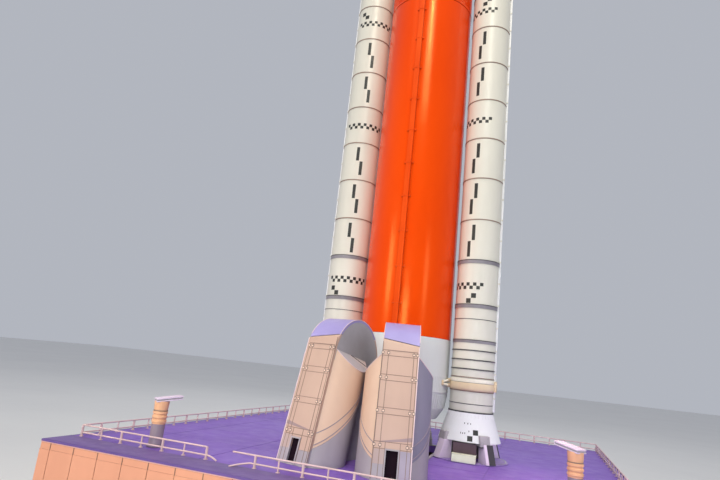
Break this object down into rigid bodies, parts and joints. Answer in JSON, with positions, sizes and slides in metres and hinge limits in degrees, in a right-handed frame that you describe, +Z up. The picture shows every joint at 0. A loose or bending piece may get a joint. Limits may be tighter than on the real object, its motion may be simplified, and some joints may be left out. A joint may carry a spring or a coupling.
{
  "type": "space rocket display model",
  "caption": "Heavy-lift space rocket model with an orange core and two strapped-on boosters, standing on its launch deck with tail masts and guard rails.",
  "frame": {"origin": "on the floor under the core's axis, at the middle of the deck's footprint", "axes": "+Z up along the core, X through both boosters, -Y towards the front, where the tail masts stand"},
  "size_m": [1.89, 2.04, 5.301],
  "materials": {
    "white": "satin white",
    "orange": "glossy red-orange",
    "cream": "satin cream",
    "grey": "satin grey",
    "mast": "satin tan",
    "deck": "satin grey-violet",
    "panel": "satin tan",
    "rail": "satin cream",
    "metal": "dark metal"
  },
  "bodies": {
    "root": {"core_engine_section": "white", "core_fuel_tank": "orange", "core_intertank": "orange", "core_oxygen_tank": "orange", "core_forward_skirt": "orange", "stage_adapter": "white", "upper_stage": "white", "spacecraft_adapter": "white", "service_module": "white", "core_boattail": "white", "crew_fairing": "white", "abort_tower": "white", "engine_nozzle_front_left": "metal", "engine_nozzle_front_right": "metal", "engine_nozzle_rear_left": "metal", "engine_nozzle_rear_right": "metal", "core_cable_tunnel": "orange", "left_feedline": "orange", "right_feedline": "orange", "left_booster_aft_skirt": "white", "left_booster_aft_segment": "white", "left_booster_aft_center_segment": "white", "left_booster_center_segment": "white", "left_booster_forward_center_segment": "white", "left_booster_forward_segment": "white", "left_booster_nose": "white", "left_booster_nozzle": "metal", "left_booster_cable_tunnel": "white", "left_booster_attach_ring": "cream", "left_booster_forward_fitting": "white", "right_booster_aft_skirt": "white", "right_booster_aft_segment": "white", "right_booster_aft_center_segment": "white", "right_booster_center_segment": "white", "right_booster_forward_center_segment": "white", "right_booster_forward_segment": "white", "right_booster_nose": "white", "right_booster_nozzle": "metal", "right_booster_cable_tunnel": "white", "right_booster_attach_ring": "cream", "right_booster_forward_fitting": "white", "deck_plate": "deck", "left_booster_support": "rail", "right_booster_support": "rail", "left_tail_mast_base": "grey", "left_tail_mast_shell": "mast", "right_tail_mast_base": "grey", "right_tail_mast_shell": "mast", "front_left_guard_rail": "rail", "front_right_guard_rail": "rail", "left_guard_rail": "rail", "right_guard_rail": "rail", "rear_guard_rail": "rail", "left_water_nozzle": "mast", "right_water_nozzle": "mast", "deck_front_wall": "panel", "deck_rear_wall": "panel", "deck_left_wall": "panel", "deck_right_wall": "panel"}
  },
  "joints": []
}
